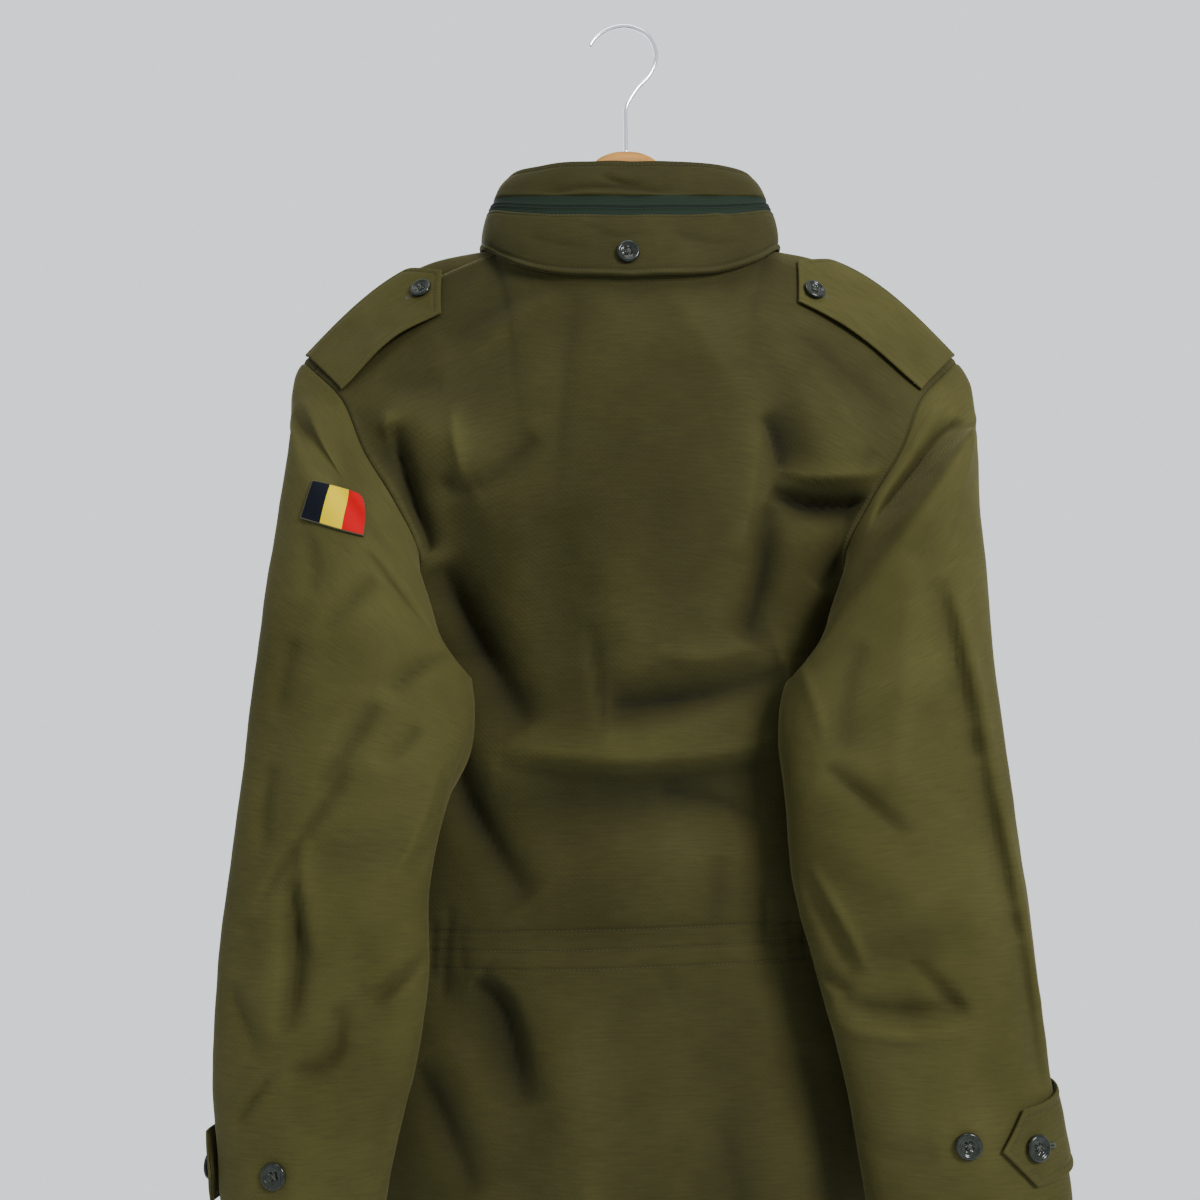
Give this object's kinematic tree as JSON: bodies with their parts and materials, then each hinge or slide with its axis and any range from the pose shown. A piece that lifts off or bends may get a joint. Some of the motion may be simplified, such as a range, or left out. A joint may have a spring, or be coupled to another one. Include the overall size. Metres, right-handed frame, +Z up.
{
  "type": "field jacket on a coat hanger",
  "caption": "Olive field jacket with a stand-up zip collar, shoulder straps and cuff tabs, hanging hollow and open at neck, cuffs and hem on a plain wooden hanger with a wire hook.",
  "frame": {"origin": "inner top of the hanger's hook, where it rests on its support", "axes": "+Z up; the jacket's back faces -Y and its front +Y; the wearer's right side is at +X"},
  "size_m": [0.6205, 0.2413, 1.0486],
  "materials": {
    "olive_cloth": "matte cotton twill",
    "zip_tape": "dark green woven tape with a plastic coil",
    "woven_patch": "woven in black, yellow and red",
    "button_plastic": "dark green, polished",
    "beech": "satin varnish",
    "chromed_wire": "bright"
  },
  "bodies": {
    "root": {"back": "olive_cloth", "front_left": "olive_cloth", "front_right": "olive_cloth", "front_fly": "olive_cloth", "sleeve_left": "olive_cloth", "sleeve_right": "olive_cloth", "collar_lower": "olive_cloth", "collar_upper": "olive_cloth", "collar_zip": "zip_tape", "strap_left": "olive_cloth", "strap_right": "olive_cloth", "cuff_tab_left": "olive_cloth", "cuff_tab_right": "olive_cloth", "flag_patch": "woven_patch", "button_collar": "button_plastic", "button_strap_left": "button_plastic", "button_strap_right": "button_plastic", "button_cuff_left_tab": "button_plastic", "button_cuff_left_spare": "button_plastic", "button_cuff_right_tab": "button_plastic", "button_cuff_right_spare": "button_plastic", "hanger_wood": "beech", "hanger_hook": "chromed_wire"}
  },
  "joints": []
}
